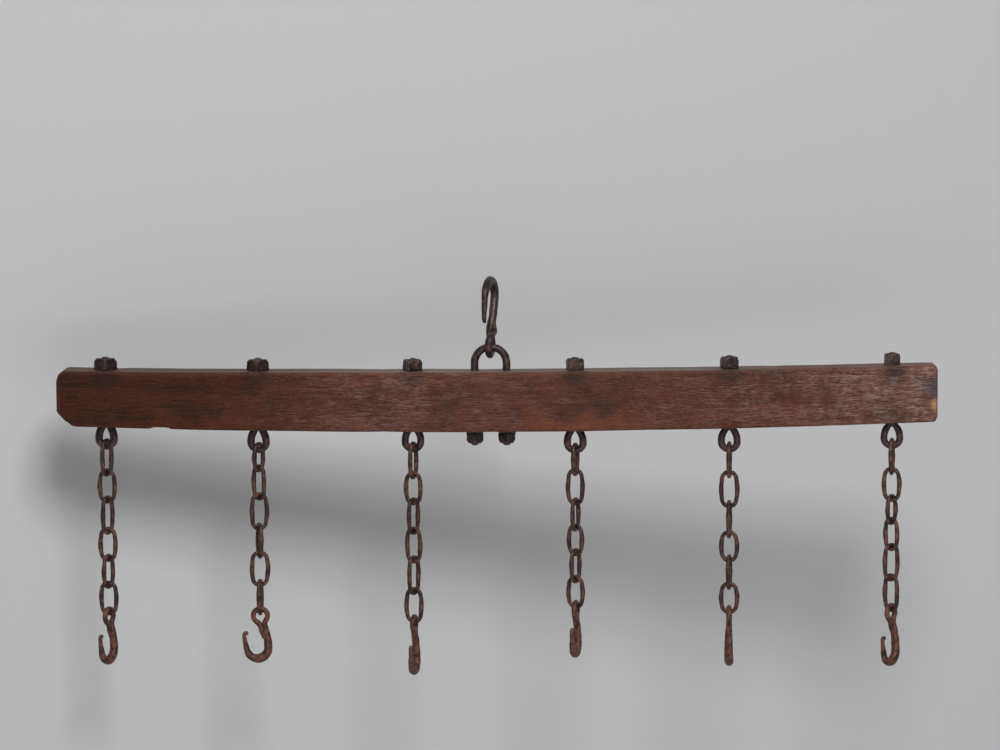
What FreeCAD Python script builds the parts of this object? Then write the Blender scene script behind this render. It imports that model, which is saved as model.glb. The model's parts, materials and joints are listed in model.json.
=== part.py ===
import FreeCAD, Part
import math
import os

from FreeCAD import Placement, Rotation, Vector

# A hanging rack. An iron hook carries a U-bolt, the U-bolt carries a hewn wooden beam, and six eye bolts
# through the beam each carry a chain of six forged links with a hook at its end.
# Sizes are in millimetres. The origin is the inside top of the hanging hook's bend, where the rack hangs
# from the ceiling. X runs along the beam, Y goes to the back and Z is up.

# Beam
BEAM_LENGTH = 1100
BEAM_SHIFT = 7.5  # from the hanging line to the beam's middle
HEIGHT_LEFT = 70.5
HEIGHT_MIDDLE = 76
HEIGHT_RIGHT = 71
THICKNESS_LEFT = 53.7
THICKNESS_RIGHT = 46.3
TOP_RISE_LEFT = 3.5  # of the top edge's ends above its middle
TOP_RISE_RIGHT = 6.5
CORNER_TOP_LEFT = 12
CORNERS_RIGHT = 4
WORN_CORNER_RISE = 17
WORN_CORNER_RUN = 20
ARRIS = 2.5

# Bolts, nuts and washers
SHANK = 10
SHANK_CLEARANCE = 0.75  # radial, in the beam's holes
THREAD_CLEARANCE = 0.05  # radial, in the nuts
SEAT_DEPTH = 0.6  # of the flat that each nut and washer beds into the wood
SEAT_MARGIN = 1.5
NUT_ACROSS_FLATS = 19
NUT_HEIGHT = 14.5
NUT_BEVEL = 2
BOLT_END = 1  # how far each eye bolt stands out of its nut
END_MARGIN_LEFT = 59.5
END_MARGIN_RIGHT = 55

# Eyes of the eye bolts
EYE_WIDTH = 27
EYE_BAR = 7.8
EYE_NECK_RADIUS = 8  # of the bends where the eye's two strands close on the shank

# U-bolt
U_BAR = 10
U_SPAN = 40  # between the centres of its legs
U_RISE = 34  # of its crown above the beam
U_NUT_ACROSS_FLATS = 16
U_NUT_HEIGHT = 13.5
U_BOLT_END = 3  # how far each leg stands out of its nut
U_NUT_TURNS = (40, 52)
WASHER_WIDTH = 30
WASHER_NOSE = 23
WASHER_HEIGHT = 3.2

# Hanging hook. A run is (length, turn in degrees) and a taper is (share of the bar's length, width).
HANGER_HEIGHT = 103.5
HANGER_BAR = 11.5
HANGER_EYE_WIDTH = 36
HANGER_EYE_BAR = 9.2
HANGER_TURN = 75  # of the hook's plane from the beam's
HANGER_SHAFT_LEAN = 20
HANGER_BEND = 20
HANGER_OPEN_BEND = 25  # the gentler half of the bend, towards the tip
HANGER_OPEN_TURN = 82
HANGER_LIP = ((22, -4), (6.5, 60))
HANGER_TAPER = ((0, 10.2), (0.25, 11.5), (0.6, 11.5), (0.72, 9.5), (0.92, 6.2), (1, 5))

# Chains
PLAY = 0.3  # between a link and the one it hangs on
WIRE = 5.3
LINK_WIDTH = 25.5
SIDE_BOW = 1.1  # how far each long side bows past its crowns

# Chain hooks, with runs and a taper as above
HOOK_EYE_WIDTH = 24.5
HOOK_EYE_BAR = 6.4
HOOK_BAR = 11.3
HOOK_BEND = 12.4
HOOK_BEND_TURN = 167
HOOK_WELD = -75  # where the shaft leaves the eye, in degrees about the eye's centre
HOOK_SHAFT_LEAN = 10
HOOK_NECK = (10, -6)
HOOK_SHOULDER = 12
HOOK_LIP = ((19, -4), (6, -120))
HOOK_TAPER = ((0, 9), (0.12, 12), (0.35, 11.3), (0.58, 11.3), (0.72, 8.4), (0.9, 5.6), (1, 4.4))

# One entry for each chain, from the left: how far its eye bolt strays from an even spacing, how low its eye
# hangs below the beam, how the eye and the nut are turned about the bolt, the links' lengths and turns, and
# the hook's height and turn. A turn of 0 lies in the plane of the beam's face.
CHAINS = (
    dict(stray=0, drop=29, eye_turn=-14, nut_turn=45, nut_extra=1.5, lengths=(49, 45, 50.5, 45.5, 45, 45),
         turns=(62, -16, 60, -15, 63, -14), hook_height=74.5, hook_turn=62),
    dict(stray=-6, drop=29.5, eye_turn=-14, nut_turn=40, nut_extra=0, lengths=(39, 46.5, 49, 46.5, 47, 47),
         turns=(62, -46, 26, -73, 8, 84), hook_height=73, hook_turn=0),
    dict(stray=-9, drop=27, eye_turn=-8, nut_turn=22, nut_extra=0, lengths=(48.5, 44, 48, 47.5, 51, 47),
         turns=(70, -24, 57, -34, 58, -20), hook_height=78, hook_turn=78),
    dict(stray=-2.5, drop=29.5, eye_turn=-6, nut_turn=12, nut_extra=0, lengths=(43, 48, 44, 42, 45.5, 43.5),
         turns=(75, -25, 68, -36, 60, -28), hook_height=74, hook_turn=76),
    dict(stray=-6.5, drop=31.5, eye_turn=-4, nut_turn=15, nut_extra=0, lengths=(47, 49, 49, 41.5, 45.5, 42),
         turns=(83, -7, 82, -14, 80, -8), hook_height=78, hook_turn=90),
    dict(stray=0, drop=33.5, eye_turn=-6, nut_turn=3, nut_extra=-0.5, lengths=(47.5, 45, 40, 44, 49.5, 49.5),
         turns=(78, -22, 57, -48, 34, -46), hook_height=81.5, hook_turn=52),
)

# The hanging line, from the origin down to the beam
HANGER_EYE_RADIUS = (HANGER_EYE_WIDTH - HANGER_EYE_BAR) / 2
HANGER_EYE_LOW = HANGER_BAR - HANGER_HEIGHT + HANGER_EYE_BAR / 2
U_CROWN_HIGH = HANGER_EYE_LOW + (HANGER_EYE_BAR + U_BAR) / 2 + PLAY
BEAM_TOP = U_CROWN_HIGH + U_BAR / 2 - U_RISE
BEAM_LEFT = BEAM_SHIFT - BEAM_LENGTH / 2
BEAM_RIGHT = BEAM_SHIFT + BEAM_LENGTH / 2
EYE_RADIUS = (EYE_WIDTH - EYE_BAR) / 2
HOOK_EYE_RADIUS = (HOOK_EYE_WIDTH - HOOK_EYE_BAR) / 2

UP = Vector(0, 0, 1)
BACK = Vector(0, 1, 0)


def in_plane(x, z):
    return Vector(x, 0, z)


def turned(shape, degrees, place):
    """A shape modelled in the XZ plane, turned about its own upright axis and set in its place."""
    moved = shape.copy()
    moved.Placement = Placement(place, Rotation(UP, degrees))
    return moved


def height_on_arc(x, low_x, ends, middle):
    """The height at x of an arc through both ends of the beam and its middle."""
    chord_middle = (ends[0] + ends[1]) / 2
    half = BEAM_LENGTH / 2
    bow = middle - chord_middle
    radius = (half**2 + bow**2) / (2 * abs(bow))
    along = x - low_x - half
    sag = abs(bow) - radius + math.sqrt(radius**2 - along**2)
    return chord_middle + (ends[1] - ends[0]) * along / BEAM_LENGTH + math.copysign(sag, bow)


def beam_top(x):
    return height_on_arc(x, BEAM_LEFT, (BEAM_TOP + TOP_RISE_LEFT, BEAM_TOP + TOP_RISE_RIGHT), BEAM_TOP)


def beam_bottom(x):
    ends = (BEAM_TOP + TOP_RISE_LEFT - HEIGHT_LEFT, BEAM_TOP + TOP_RISE_RIGHT - HEIGHT_RIGHT)
    return height_on_arc(x, BEAM_LEFT, ends, BEAM_TOP - HEIGHT_MIDDLE)


def bolt_places():
    """Where the six eye bolts stand along X."""
    pitch = (BEAM_LENGTH - END_MARGIN_LEFT - END_MARGIN_RIGHT) / (len(CHAINS) - 1)
    return [BEAM_LEFT + END_MARGIN_LEFT + pitch * i + chain["stray"] for i, chain in enumerate(CHAINS)]


def u_places():
    return (-U_SPAN / 2, U_SPAN / 2)


def nut_size(chain):
    return NUT_ACROSS_FLATS + chain["nut_extra"]


def nut_seat(x):
    return beam_top(x) - SEAT_DEPTH


def washer_seat(x):
    return beam_bottom(x) + SEAT_DEPTH


def eye_low(x, chain):
    """The height of the eye's bar at its lowest point, at the bar's centre."""
    return beam_bottom(x) - chain["drop"] + EYE_BAR / 2


def link_heights(x, chain):
    """For each link of a chain, the heights of its bar's centre at its upper and lower crowns."""
    heights = []
    carrier, carrier_bar = eye_low(x, chain), EYE_BAR
    for length in chain["lengths"]:
        upper = carrier + (carrier_bar + WIRE) / 2 + PLAY
        carrier, carrier_bar = upper - (length - WIRE), WIRE
        heights.append((upper, carrier))
    return heights


def hook_eye_centre(x, chain):
    lowest_link = link_heights(x, chain)[-1][1]
    return lowest_link + (WIRE + HOOK_EYE_BAR) / 2 + PLAY - HOOK_EYE_RADIUS


def lay_bar(start, heading, steps, pieces_per_step=6):
    """A bar bent in the XZ plane: stations (point, heading) along steps of (length, turn in degrees)."""
    point, stations = start, [(start, heading)]
    for length, turn in steps:
        for _ in range(pieces_per_step):
            half_turn = math.radians(turn / pieces_per_step / 2)
            run = length / pieces_per_step
            chord = run * (math.sin(half_turn) / half_turn if half_turn else 1)
            direction = math.radians(heading) + half_turn
            point = point + in_plane(chord * math.cos(direction), chord * math.sin(direction))
            heading += turn / pieces_per_step
            stations.append((point, heading))
    return stations


def bar_width(share, taper):
    """The bar's width at a share of its length, from (share, width) pairs."""
    for (a, wide_a), (b, wide_b) in zip(taper, taper[1:]):
        if share <= b:
            return wide_a + (wide_b - wide_a) * (share - a) / (b - a)
    return taper[-1][1]


def tapered_bar(stations, taper):
    """A round bar of changing width through the stations, with a rounded end at the last one."""
    far = [0]
    for (p, _), (q, _) in zip(stations, stations[1:]):
        far.append(far[-1] + p.distanceToPoint(q))
    rings = []
    for (point, heading), gone in zip(stations, far):
        ring = Part.Wire(Part.makeCircle(bar_width(gone / far[-1], taper) / 2, Vector(), Vector(1, 0, 0)))
        ring.Placement = Placement(point, Rotation(BACK, -heading))
        rings.append(ring)
    end = Part.makeSphere(taper[-1][1] / 2, stations[-1][0])
    return Part.makeLoft(rings, True).fuse(end)


def swept(path, width):
    """A round bar along a path of tangent runs and arcs, with flat ends."""
    first = path.Edges[0]
    start, direction = first.valueAt(first.FirstParameter), first.tangentAt(first.FirstParameter)
    return path.makePipe(Part.Face(Part.Wire(Part.makeCircle(width / 2, start, direction))))


def arc(centre, radius, start, end):
    """An arc in the XZ plane from one angle to another, in degrees from +X towards +Z."""
    points = [
        centre + in_plane(radius * math.cos(math.radians(a)), radius * math.sin(math.radians(a)))
        for a in (start, (start + end) / 2, end)
    ]
    return Part.Arc(*points).toShape()


def mirrored_across(shape):
    """A shape on the +X side with its mirror image on the other side, as one solid."""
    return shape.fuse(shape.mirror(Vector(), Vector(1, 0, 0))).removeSplitter()


def ring(radius, bar, centre):
    return Part.makeTorus(radius, bar / 2, centre, BACK)


def square_nut(across, height, turn, bar):
    """A square nut standing on the XY plane, with its top corners turned off and its bore along Z."""
    nut = Part.makeBox(across, across, height, Vector(-across / 2, -across / 2, 0))
    corner = across / math.sqrt(2)
    tool = Part.makeCone(corner + height - NUT_BEVEL, corner - NUT_BEVEL, height)
    bore = Part.makeCylinder(bar / 2 + THREAD_CLEARANCE, height)
    nut = nut.common(tool).cut(bore)
    return turned(nut, turn, Vector())


def link(length):
    """An oval link in the XZ plane, centred on the origin."""
    half_height, half_width = (length - WIRE) / 2, (LINK_WIDTH - WIRE) / 2
    crown = half_width - SIDE_BOW
    crown_centre = half_height - crown
    side = (crown_centre**2 + half_width**2 - crown**2) / (2 * (half_width - crown))
    side_centre = half_width - side
    meet = math.degrees(math.atan2(crown_centre, -side_centre))
    right_half = Part.Wire([
        arc(in_plane(0, -crown_centre), crown, -90, -meet),
        arc(in_plane(side_centre, 0), side, -meet, meet),
        arc(in_plane(0, crown_centre), crown, meet, 90),
    ])
    return mirrored_across(swept(right_half, WIRE))


def eye_bolt(x, chain):
    """The eye hangs round the origin. Its two strands close on the shank, which goes up through the beam."""
    neck = math.sqrt(EYE_RADIUS**2 + 2 * EYE_RADIUS * EYE_NECK_RADIUS)
    meet = math.degrees(math.atan2(neck, EYE_NECK_RADIUS))
    right_half = Part.Wire([
        arc(Vector(), EYE_RADIUS, -90, meet),
        arc(in_plane(EYE_NECK_RADIUS, neck), EYE_NECK_RADIUS, meet + 180, 180),
    ])
    strand = swept(right_half, EYE_BAR)
    room = 2 * EYE_WIDTH
    strand = strand.common(Part.makeBox(room, room, 2 * room, Vector(0, -room / 2, -room)))
    centre = eye_low(x, chain) + EYE_RADIUS
    top = nut_seat(x) + NUT_HEIGHT + BOLT_END - centre
    shank_low = neck - EYE_BAR / 4
    shank = Part.makeCylinder(SHANK / 2, top - shank_low, in_plane(0, shank_low))
    shank = shank.makeFillet(BOLT_END, [edge for edge in shank.Edges if edge.BoundBox.ZMin > top - 0.1])
    bolt = mirrored_across(strand).fuse(shank).removeSplitter()
    return turned(bolt, chain["eye_turn"], Vector(x, 0, centre))


def u_bolt():
    """Two legs joined by a half-round crown, which hangs on the hanging hook's eye."""
    half = U_SPAN / 2
    shoulder = U_CROWN_HIGH - half
    low = washer_seat(0) - WASHER_HEIGHT - U_NUT_HEIGHT - U_BOLT_END
    path = Part.Wire([
        Part.LineSegment(in_plane(-half, low), in_plane(-half, shoulder)).toShape(),
        arc(in_plane(0, shoulder), half, 180, 0),
        Part.LineSegment(in_plane(half, shoulder), in_plane(half, low)).toShape(),
    ])
    bar = swept(path, U_BAR)
    ends = [edge for edge in bar.Edges if edge.BoundBox.ZMax < low + 0.1]
    return bar.makeFillet(U_BAR / 4, ends)


def u_bolt_washer(x):
    cone = Part.makeCone(WASHER_NOSE / 2, WASHER_WIDTH / 2, WASHER_HEIGHT)
    hole = Part.makeCylinder(U_BAR / 2 + SHANK_CLEARANCE, WASHER_HEIGHT)
    return cone.cut(hole).translated(Vector(x, 0, washer_seat(x) - WASHER_HEIGHT))


def u_bolt_nut(x, turn):
    nut = square_nut(U_NUT_ACROSS_FLATS, U_NUT_HEIGHT, turn, U_BAR).mirror(Vector(), UP)
    return nut.translated(Vector(x, 0, washer_seat(x) - WASHER_HEIGHT))


def beam():
    """The hewn beam: hollow along its top, bellied along its bottom, thinner to the right."""
    marks = (BEAM_LEFT, BEAM_SHIFT, BEAM_RIGHT)
    corners = [(x, height(x)) for x in marks for height in (beam_bottom, beam_top)]
    low_left, high_left, low_middle, high_middle, low_right, high_right = (in_plane(*c) for c in corners)
    outline = Part.Wire([
        Part.Arc(low_left, low_middle, low_right).toShape(),
        Part.LineSegment(low_right, high_right).toShape(),
        Part.Arc(high_right, high_middle, high_left).toShape(),
        Part.LineSegment(high_left, low_left).toShape(),
    ])
    body = Part.Face(outline).extrude(BACK * THICKNESS_LEFT).translated(-BACK * THICKNESS_LEFT / 2)
    plan = Part.makePolygon([
        Vector(BEAM_LEFT, -THICKNESS_LEFT / 2, 0), Vector(BEAM_RIGHT, -THICKNESS_RIGHT / 2, 0),
        Vector(BEAM_RIGHT, THICKNESS_RIGHT / 2, 0), Vector(BEAM_LEFT, THICKNESS_LEFT / 2, 0),
        Vector(BEAM_LEFT, -THICKNESS_LEFT / 2, 0),
    ])
    depth = HEIGHT_LEFT + HEIGHT_MIDDLE + HEIGHT_RIGHT
    body = body.common(Part.Face(plan).extrude(UP * depth).translated(UP * (BEAM_TOP - 0.7 * depth)))

    def upright_edges(point):
        reach = THICKNESS_LEFT
        return [e for e in body.Edges if e.BoundBox.XLength < 0.1 and e.BoundBox.ZLength < 0.1
                and e.CenterOfMass.distanceToPoint(point) < reach / 2]

    body = body.makeFillet(CORNER_TOP_LEFT, upright_edges(high_left))
    body = body.makeFillet(CORNERS_RIGHT, upright_edges(high_right) + upright_edges(low_right))
    worn = Part.Face(Part.makePolygon([
        low_left + in_plane(-1, -1), low_left + in_plane(WORN_CORNER_RUN, -1),
        low_left + in_plane(-1, WORN_CORNER_RISE), low_left + in_plane(-1, -1),
    ])).extrude(BACK * THICKNESS_LEFT).translated(-BACK * THICKNESS_LEFT / 2)
    body = body.cut(worn)
    sides = [f for f in body.Faces if abs(f.normalAt(0, 0).y) > 0.9]
    body = body.makeFillet(ARRIS, [edge for side in sides for edge in side.Edges])

    reach = HEIGHT_MIDDLE + TOP_RISE_LEFT + TOP_RISE_RIGHT
    for x, chain in zip(bolt_places(), CHAINS):
        hole = Part.makeCylinder(SHANK / 2 + SHANK_CLEARANCE, 2 * reach, Vector(x, 0, BEAM_TOP - 1.5 * reach))
        wide = nut_size(chain) / math.sqrt(2) + SEAT_MARGIN
        body = body.cut(hole).cut(Part.makeCylinder(wide, reach, Vector(x, 0, nut_seat(x))))
    for x in u_places():
        hole = Part.makeCylinder(U_BAR / 2 + SHANK_CLEARANCE, 2 * reach, Vector(x, 0, BEAM_TOP - 1.5 * reach))
        wide = WASHER_WIDTH / 2 + SEAT_MARGIN
        body = body.cut(hole).cut(Part.makeCylinder(wide, reach, Vector(x, 0, washer_seat(x) - reach)))
    return body


def hanging_hook():
    """A bar bent to a hook at the top and closed to an eye at the bottom, in one plane."""
    apex = in_plane(0, HANGER_BAR / 2)
    eye_centre = in_plane(0, HANGER_EYE_LOW + HANGER_EYE_RADIUS)
    bend_turn = 90 + HANGER_SHAFT_LEAN
    bend = (math.radians(bend_turn) * HANGER_BEND, -bend_turn)
    bent = lay_bar(apex, 0, [bend])[-1][0]
    down = Vector(-math.sin(math.radians(HANGER_SHAFT_LEAN)), 0, -math.cos(math.radians(HANGER_SHAFT_LEAN)))
    to_eye = eye_centre - bent
    along = to_eye.dot(down)
    shaft = along - math.sqrt(HANGER_EYE_RADIUS**2 - to_eye.dot(to_eye) + along**2)
    towards_eye = lay_bar(apex, 0, [bend, (shaft, 0)])
    open_bend = (math.radians(HANGER_OPEN_TURN) * HANGER_OPEN_BEND, HANGER_OPEN_TURN)
    towards_tip = lay_bar(apex, 180, [open_bend, *HANGER_LIP])
    stations = [(point, heading + 180) for point, heading in reversed(towards_eye)] + towards_tip[1:]
    hook = tapered_bar(stations, HANGER_TAPER).fuse(ring(HANGER_EYE_RADIUS, HANGER_EYE_BAR, eye_centre))
    return turned(hook.removeSplitter(), HANGER_TURN, Vector())


def chain_hook(height):
    """The eye is centred on the origin, the shaft leans to the right and the tip comes up on the left."""
    weld = math.radians(HOOK_WELD)
    below_eye = in_plane(math.cos(weld), math.sin(weld)) * HOOK_EYE_RADIUS
    shoulder = (HOOK_SHOULDER, -HOOK_SHAFT_LEAN)
    bend = (math.radians(HOOK_BEND_TURN) * HOOK_BEND, -HOOK_BEND_TURN)
    heading = HOOK_SHAFT_LEAN - HOOK_NECK[1] - 90
    short_drop = below_eye.z - lay_bar(below_eye, heading, [HOOK_NECK, shoulder])[-1][0].z
    bend_centre = HOOK_EYE_WIDTH / 2 - height + HOOK_BAR / 2 + HOOK_BEND
    shaft = (below_eye.z - short_drop - bend_centre) / math.cos(math.radians(HOOK_SHAFT_LEAN))
    stations = lay_bar(below_eye, heading, [HOOK_NECK, (shaft, 0), shoulder, bend, *HOOK_LIP])
    hook = tapered_bar(stations, HOOK_TAPER).fuse(ring(HOOK_EYE_RADIUS, HOOK_EYE_BAR, Vector()))
    return hook.removeSplitter()


def save(name, *solids):
    shape = solids[0] if len(solids) == 1 else Part.makeCompound(list(solids))
    shape.exportStep(f"parts/{name}.step")


def main():
    os.makedirs("parts", exist_ok=True)
    save("hanging_hook", hanging_hook())
    save("u_bolt", u_bolt())
    save("u_bolt_washers", *(u_bolt_washer(x) for x in u_places()))
    save("u_bolt_nuts", *(u_bolt_nut(x, turn) for x, turn in zip(u_places(), U_NUT_TURNS)))
    save("beam", beam())
    nuts = []
    for number, (x, chain) in enumerate(zip(bolt_places(), CHAINS), 1):
        save(f"eye_bolt_{number}", eye_bolt(x, chain))
        nut = square_nut(nut_size(chain), NUT_HEIGHT, chain["nut_turn"], SHANK)
        nuts.append(nut.translated(Vector(x, 0, nut_seat(x))))
        rows = zip(chain["lengths"], chain["turns"], link_heights(x, chain))
        for k, (length, turn, (upper, lower)) in enumerate(rows, 1):
            save(f"chain_{number}_link_{k}", turned(link(length), turn, Vector(x, 0, (upper + lower) / 2)))
        hook = chain_hook(chain["hook_height"])
        place = Vector(x, 0, hook_eye_centre(x, chain))
        save(f"chain_{number}_hook", turned(hook, chain["hook_turn"], place))
    save("eye_bolt_nuts", *nuts)


main()
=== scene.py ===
import json
import math

import bmesh
import bpy
from mathutils import Matrix, Vector, noise


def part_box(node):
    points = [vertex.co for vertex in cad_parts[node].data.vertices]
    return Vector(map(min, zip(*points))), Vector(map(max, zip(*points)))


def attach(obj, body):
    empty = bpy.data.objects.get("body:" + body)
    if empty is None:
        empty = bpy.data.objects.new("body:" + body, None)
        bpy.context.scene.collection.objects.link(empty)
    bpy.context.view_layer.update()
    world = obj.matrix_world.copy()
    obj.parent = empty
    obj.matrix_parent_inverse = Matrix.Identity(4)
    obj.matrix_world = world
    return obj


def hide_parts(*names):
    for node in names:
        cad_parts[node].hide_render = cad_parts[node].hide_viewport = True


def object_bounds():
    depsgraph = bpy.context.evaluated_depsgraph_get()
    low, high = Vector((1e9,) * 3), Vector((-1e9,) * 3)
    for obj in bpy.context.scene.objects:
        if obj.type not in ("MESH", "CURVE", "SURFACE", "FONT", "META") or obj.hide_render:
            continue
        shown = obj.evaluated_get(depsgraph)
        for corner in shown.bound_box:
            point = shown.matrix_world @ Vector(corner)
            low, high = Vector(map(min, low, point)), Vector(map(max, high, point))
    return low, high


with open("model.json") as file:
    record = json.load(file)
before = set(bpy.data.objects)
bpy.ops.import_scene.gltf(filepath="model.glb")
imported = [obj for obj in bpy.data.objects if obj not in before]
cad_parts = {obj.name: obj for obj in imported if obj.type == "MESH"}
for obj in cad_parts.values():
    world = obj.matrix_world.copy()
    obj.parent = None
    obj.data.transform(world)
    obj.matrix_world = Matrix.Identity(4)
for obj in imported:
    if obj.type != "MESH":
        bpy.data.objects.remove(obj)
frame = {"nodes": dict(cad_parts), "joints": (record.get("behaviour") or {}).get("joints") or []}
cad_low, cad_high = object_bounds()
hinge_of = {joint["child"]: joint for joint in frame["joints"]}
mm = 0.001
scene = bpy.context.scene

# ---------------------------------------------------------------------------------------------------------
# Wall, floor, light and camera
# The rack hangs in front of a plain pale wall, nearer to it at the left end, so that its soft shadow drops
# further to the right. The floor is well below it.

WALL_GAP = 0.284  # behind the middle of the rack
WALL_TURN = 14
WALL_HALF = 2.4
WALL_COLOUR = (0.60, 0.60, 0.605)
FLOOR_DROP = 0.5  # below the lowest hook
FLOOR_HALF = 4
FLOOR_COLOUR = (0.62, 0.62, 0.62)
WINDOW_LIGHT = ((0.7, -3.9, 2.85), 1.8, 156)  # place, size and watts
LOW_LIGHT = ((0.3, -2.3, -1.3), 2.0, 26)
ROOM_TINT = (0.95, 0.98, 1, 1)
ROOM_STRENGTH = 0.2
CAMERA_AZIMUTH = 0.85
CAMERA_ELEVATION = 5.6
CAMERA_ROLL = -0.26
CAMERA_DISTANCE = 4.94
CAMERA_LENS = 141.94
CAMERA_AIM = Vector((0.0118, 0, -0.1128))
SENSOR_WIDTH = 36


def plain_material(name, colour, see_through_from_behind=False):
    material = bpy.data.materials.new(name)
    material.use_nodes = True
    tree = material.node_tree
    surface = tree.nodes["Principled BSDF"]
    surface.inputs["Base Color"].default_value = (*colour, 1)
    surface.inputs["Roughness"].default_value = 0.9
    surface.inputs["Specular IOR Level"].default_value = 0.1
    if see_through_from_behind:
        back = tree.nodes.new("ShaderNodeNewGeometry").outputs["Backfacing"]
        clear = tree.nodes.new("ShaderNodeBsdfTransparent")
        choice = tree.nodes.new("ShaderNodeMixShader")
        tree.links.new(back, choice.inputs[0])
        tree.links.new(surface.outputs[0], choice.inputs[1])
        tree.links.new(clear.outputs[0], choice.inputs[2])
        tree.links.new(choice.outputs[0], tree.nodes["Material Output"].inputs["Surface"])
    return material


def stage_sheet(name, half, place, material):
    bm = bmesh.new()
    bmesh.ops.create_grid(bm, x_segments=1, y_segments=1, size=half, matrix=place)
    mesh = bpy.data.meshes.new(name)
    bm.to_mesh(mesh)
    bm.free()
    mesh.materials.append(material)
    sheet = bpy.data.objects.new(name, mesh)
    scene.collection.objects.link(sheet)


facing_front = Matrix.Rotation(math.radians(90), 4, "X")
wall_turn = Matrix.Rotation(math.radians(WALL_TURN), 4, "Z")
wall_place = Matrix.Translation((0, WALL_GAP, 0)) @ wall_turn @ facing_front
stage_sheet("wall", WALL_HALF, wall_place, plain_material("pale_wall", WALL_COLOUR, True))
floor_place = Matrix.Translation((0, 0, cad_low.z - FLOOR_DROP))
stage_sheet("floor", FLOOR_HALF, floor_place, plain_material("pale_floor", FLOOR_COLOUR))


def aim(thing, place, target, roll=0):
    """Puts a light or the camera in its place and points it at its target."""
    thing.location = place
    thing.rotation_mode = "QUATERNION"
    thing.rotation_quaternion = (target - place).to_track_quat("-Z", "Y")
    thing.rotation_quaternion @= Matrix.Rotation(math.radians(roll), 3, "Z").to_quaternion()
    scene.collection.objects.link(thing)


def soft_light(name, place, size, watts):
    light = bpy.data.lights.new(name, "AREA")
    light.shape, light.size, light.energy = "DISK", size, watts
    aim(bpy.data.objects.new(name, light), Vector(place), CAMERA_AIM)


soft_light("window_light", *WINDOW_LIGHT)
soft_light("low_light", *LOW_LIGHT)
scene.world = bpy.data.worlds.new("room")
scene.world.use_nodes = True
room = scene.world.node_tree.nodes["Background"]
room.inputs["Color"].default_value = ROOM_TINT
room.inputs["Strength"].default_value = ROOM_STRENGTH
scene.view_settings.view_transform = "Standard"

azimuth, elevation = math.radians(CAMERA_AZIMUTH), math.radians(CAMERA_ELEVATION)
away = Vector((math.sin(azimuth) * math.cos(elevation), -math.cos(azimuth) * math.cos(elevation),
               math.sin(elevation)))
camera = bpy.data.objects.new("camera", bpy.data.cameras.new("camera"))
camera.data.lens = CAMERA_LENS
camera.data.sensor_width = SENSOR_WIDTH
aim(camera, CAMERA_AIM + away * CAMERA_DISTANCE, CAMERA_AIM, CAMERA_ROLL)
scene.camera = camera

# ---------------------------------------------------------------------------------------------------------
# Beam
# One length of old hardwood, hewn to shape by hand and dark with wax and smoke. Its top dips and its bottom
# bellies, its arrises are worn, one low corner is broken off, and the right end is scuffed pale.

TOP_RISE_LEFT = 3.5 * mm
TOP_RISE_RIGHT = 6.5 * mm
END_HEIGHT_LEFT = 70.5 * mm
END_HEIGHT_RIGHT = 71 * mm
THICKNESS_LEFT = 53.7 * mm
THICKNESS_RIGHT = 46.3 * mm
CORNER_TOP_LEFT = 13 * mm
CORNERS_RIGHT = 5 * mm
WORN_CORNER_RUN = 23 * mm
WORN_CORNER_RISE = 18 * mm
ARRIS = 1.9 * mm
BEAM_STEP = 2.75 * mm
BEAM_GIRTH_FACES = 112
END_RINGS = (0.985, 0.94, 0.86, 0.74, 0.6, 0.45, 0.3, 0.14)  # sizes of the rings that close each end
CHIP_FROM_LEFT = 130 * mm  # a shallow chip in the lower front arris
CHIP_REACH = 11.5 * mm
CHIP_DEPTH = 2 * mm
AXE_MARKS = 0.55 * mm
SWELL = 0.5 * mm
GRAIN_RIBS = 0.16 * mm
HEWN_AWAY = 0.45 * mm  # taken off everywhere, so that few ribs stand past the beam's size

WOOD_DARK = (0.022, 0.0080, 0.0050)
WOOD_RED = (0.104, 0.031, 0.017)
WOOD_PALE = (0.245, 0.108, 0.070)
WOOD_ORANGE = (0.21, 0.068, 0.020)
WOOD_GREY = (0.26, 0.225, 0.205)
WOOD_SCUFF = (0.40, 0.33, 0.34)
WOOD_STAIN = (0.020, 0.013, 0.013)
WOOD_INK = (0.035, 0.042, 0.058)
WOOD_SMOKE = (0.58, 0.40, 0.30)
WOOD_CLEAR = (0.88, 0.80, 0.76)
WOOD_RAW = (0.55, 0.34, 0.17)

# Each ramp holds (share of the beam's length from the left, strength).
PALENESS = ((0, 0.10), (0.14, 0.14), (0.24, 0.34), (0.36, 0.62), (0.47, 0.55), (0.6, 0.42), (0.66, 0.36),
            (0.78, 0.48), (0.9, 0.68), (1, 0.85))
WARMTH = ((0, 0.15), (0.08, 0.85), (0.18, 0.8), (0.24, 0.15), (0.5, 0.15), (0.56, 0.9), (0.64, 0.85),
          (0.7, 0.2), (1, 0.2))
SCUFFING = ((0, 0.03), (0.2, 0.08), (0.3, 0.3), (0.38, 0.42), (0.5, 0.2), (0.62, 0.14), (0.74, 0.26),
            (0.86, 0.5), (0.93, 0.8), (1, 0.9))
CLEAR_OF_SMOKE = ((0, 0), (0.2, 0.05), (0.3, 0.65), (0.4, 0.95), (1, 1))
STAIN_REACH, STAIN_CORE = 0.026, 0.006
INK_IN, INK_DOWN, INK_REACH, INK_CORE = 0.004, 0.021, 0.024, 0.004
RAW_BACK, RAW_DOWN, RAW_REACH, RAW_CORE = 0.001, 0.043, 0.0125, 0.003

beam_low, beam_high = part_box("beam")
beam_length = beam_high.x - beam_low.x
top_middle = beam_high.z - TOP_RISE_RIGHT
bottom_middle = beam_low.z


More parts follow.
